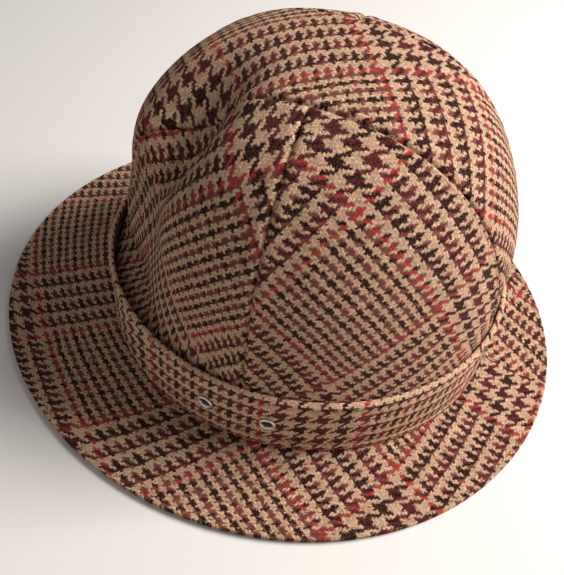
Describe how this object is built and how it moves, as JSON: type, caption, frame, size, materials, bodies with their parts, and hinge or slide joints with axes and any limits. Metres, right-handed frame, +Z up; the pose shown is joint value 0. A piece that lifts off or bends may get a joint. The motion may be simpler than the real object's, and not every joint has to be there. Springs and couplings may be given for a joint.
{
  "type": "cut and sewn tweed hat",
  "caption": "Soft tweed country hat: domed crown of a centre strip and side panels, band with vent eyelets, stitched brim.",
  "frame": {"origin": "middle of the brim's outline, on the flat surface that the brim rests on", "axes": "+Z up through the crown, +Y towards the back of the hat, +X towards the wearer's left"},
  "size_m": [0.272, 0.305, 0.1661],
  "materials": {
    "tweed_crown": "checked wool tweed in a broken twill, fuzzy",
    "tweed_brim": "checked wool tweed, rows of topstitching",
    "tweed_band": "checked wool tweed, folded and topstitched",
    "canvas": "plain stiff cotton canvas",
    "lining_satin": "dark satin",
    "sweatband_cotton": "dark ribbed cotton",
    "eyelet_metal": "nickel plated, polished"
  },
  "bodies": {
    "root": {"brim_interlining": "canvas", "brim_top": "tweed_brim", "brim_under": "tweed_brim", "crown_centre_strip": "tweed_crown", "crown_interlining": "canvas", "crown_side_back_left": "tweed_crown", "crown_side_back_right": "tweed_crown", "crown_side_front_left": "tweed_crown", "crown_side_front_right": "tweed_crown", "eyelet_back_left": "eyelet_metal", "eyelet_back_right": "eyelet_metal", "eyelet_front_left": "eyelet_metal", "eyelet_front_right": "eyelet_metal", "eyelet_washer_back_left": "eyelet_metal", "eyelet_washer_back_right": "eyelet_metal", "eyelet_washer_front_left": "eyelet_metal", "eyelet_washer_front_right": "eyelet_metal", "hat_band": "tweed_band", "lining_centre_strip": "lining_satin", "lining_side_back_left": "lining_satin", "lining_side_back_right": "lining_satin", "lining_side_front_left": "lining_satin", "lining_side_front_right": "lining_satin", "sweatband": "sweatband_cotton"}
  },
  "joints": []
}
